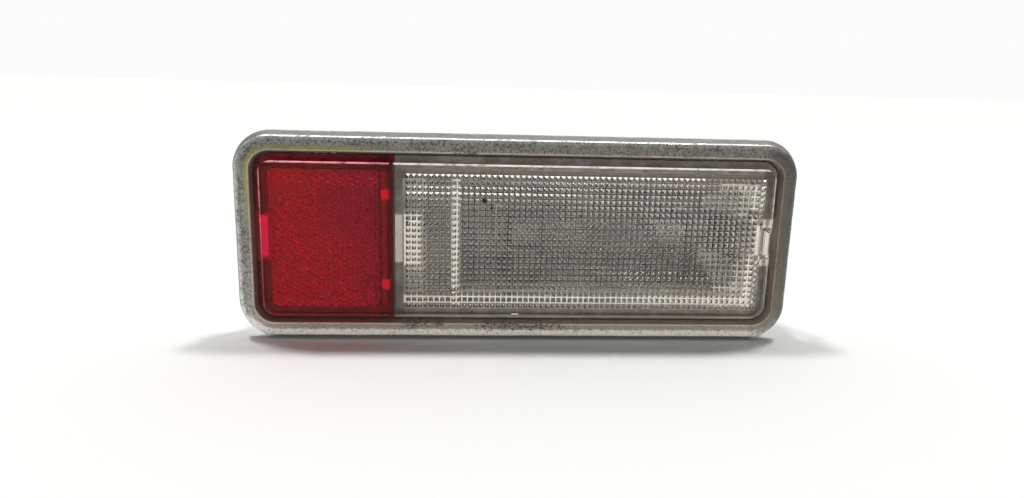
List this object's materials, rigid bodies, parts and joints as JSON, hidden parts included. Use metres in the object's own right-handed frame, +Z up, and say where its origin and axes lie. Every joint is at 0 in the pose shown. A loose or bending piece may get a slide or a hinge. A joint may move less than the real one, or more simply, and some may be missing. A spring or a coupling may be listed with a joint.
{
  "type": "car interior light",
  "caption": "Rectangular panel light with a cast frame, red and clear prismatic lenses that hinge open, a moulded housing, reflector and festoon bulb.",
  "frame": {"origin": "middle of the light in the plane of the panel that its frame seats on", "axes": "+X along the light, towards the clear lens's notch; +Y back through the panel; +Z up; the lens faces -Y"},
  "size_m": [0.1112, 0.0328, 0.0412],
  "materials": {
    "frame_metal": "die-cast zinc, polished long ago, now dull, pitted and tarnished",
    "red_plastic": "clear red acrylic, glossy, with reflex cells behind",
    "clear_plastic": "clear acrylic, glossy, with prisms behind, slightly aged",
    "white_plastic": "moulded off-white, slightly yellowed",
    "reflector_metal": "bright sheet gone dull",
    "spring_steel": "blued spring strip",
    "plated_steel": "zinc plated, dulled",
    "brass": "dull brass",
    "bronze": "phosphor bronze strip",
    "cap_metal": "nickel plated",
    "bulb_glass": "clear glass",
    "filament": "grey tungsten wire"
  },
  "bodies": {
    "lamp_body": {"bezel_frame": "frame_metal", "frame_screws": "plated_steel", "screw_washers": "plated_steel", "housing_tub": "white_plastic", "clip_foot": "spring_steel", "clip_rivets": "plated_steel", "reflector": "reflector_metal", "reflector_screws": "plated_steel", "terminal_live": "brass", "terminal_earth": "brass", "contact_rivets": "brass"},
    "lens": {"red_lens": "red_plastic", "clear_lens": "clear_plastic", "reflex_backing": "white_plastic"},
    "catch": {"lens_catch": "white_plastic"},
    "clip": {"mounting_clip": "spring_steel"},
    "leaf_left": {"contact_left": "bronze"},
    "leaf_right": {"contact_right": "bronze"},
    "bulb": {"bulb_glass": "bulb_glass", "bulb_cap_left": "cap_metal", "bulb_cap_right": "cap_metal", "bulb_filament": "filament"}
  },
  "joints": [
    {"name": "lens_hinge", "type": "hinge", "parent": "lamp_body", "child": "lens", "pos_m": [-0.0513, -0.0014, 0], "axis": [0, 0, -1], "range_deg": [0, 35]},
    {"name": "catch_flex", "type": "hinge", "parent": "lamp_body", "child": "catch", "pos_m": [0.0521, 0.0107, 0], "axis": [0, 0, 1], "range_deg": [0, 5], "stiffness_Nm_per_rad": 0.6},
    {"name": "clip_flex", "type": "hinge", "parent": "lamp_body", "child": "clip", "pos_m": [0.0495, 0.0133, 0], "axis": [0, 0, -1], "range_deg": [0, 12], "stiffness_Nm_per_rad": 1.2},
    {"name": "leaf_left_flex", "type": "hinge", "parent": "lamp_body", "child": "leaf_left", "pos_m": [-0.0032, 0.014, 0], "axis": [0, 0, -1], "range_deg": [0, 6], "stiffness_Nm_per_rad": 0.3},
    {"name": "leaf_right_flex", "type": "hinge", "parent": "lamp_body", "child": "leaf_right", "pos_m": [0.0368, 0.014, 0], "axis": [0, 0, 1], "range_deg": [0, 6], "stiffness_Nm_per_rad": 0.3},
    {"name": "bulb_turn", "type": "hinge", "parent": "lamp_body", "child": "bulb", "pos_m": [0.0168, 0.0086, 0], "axis": [1, 0, 0], "continuous": true}
  ]
}
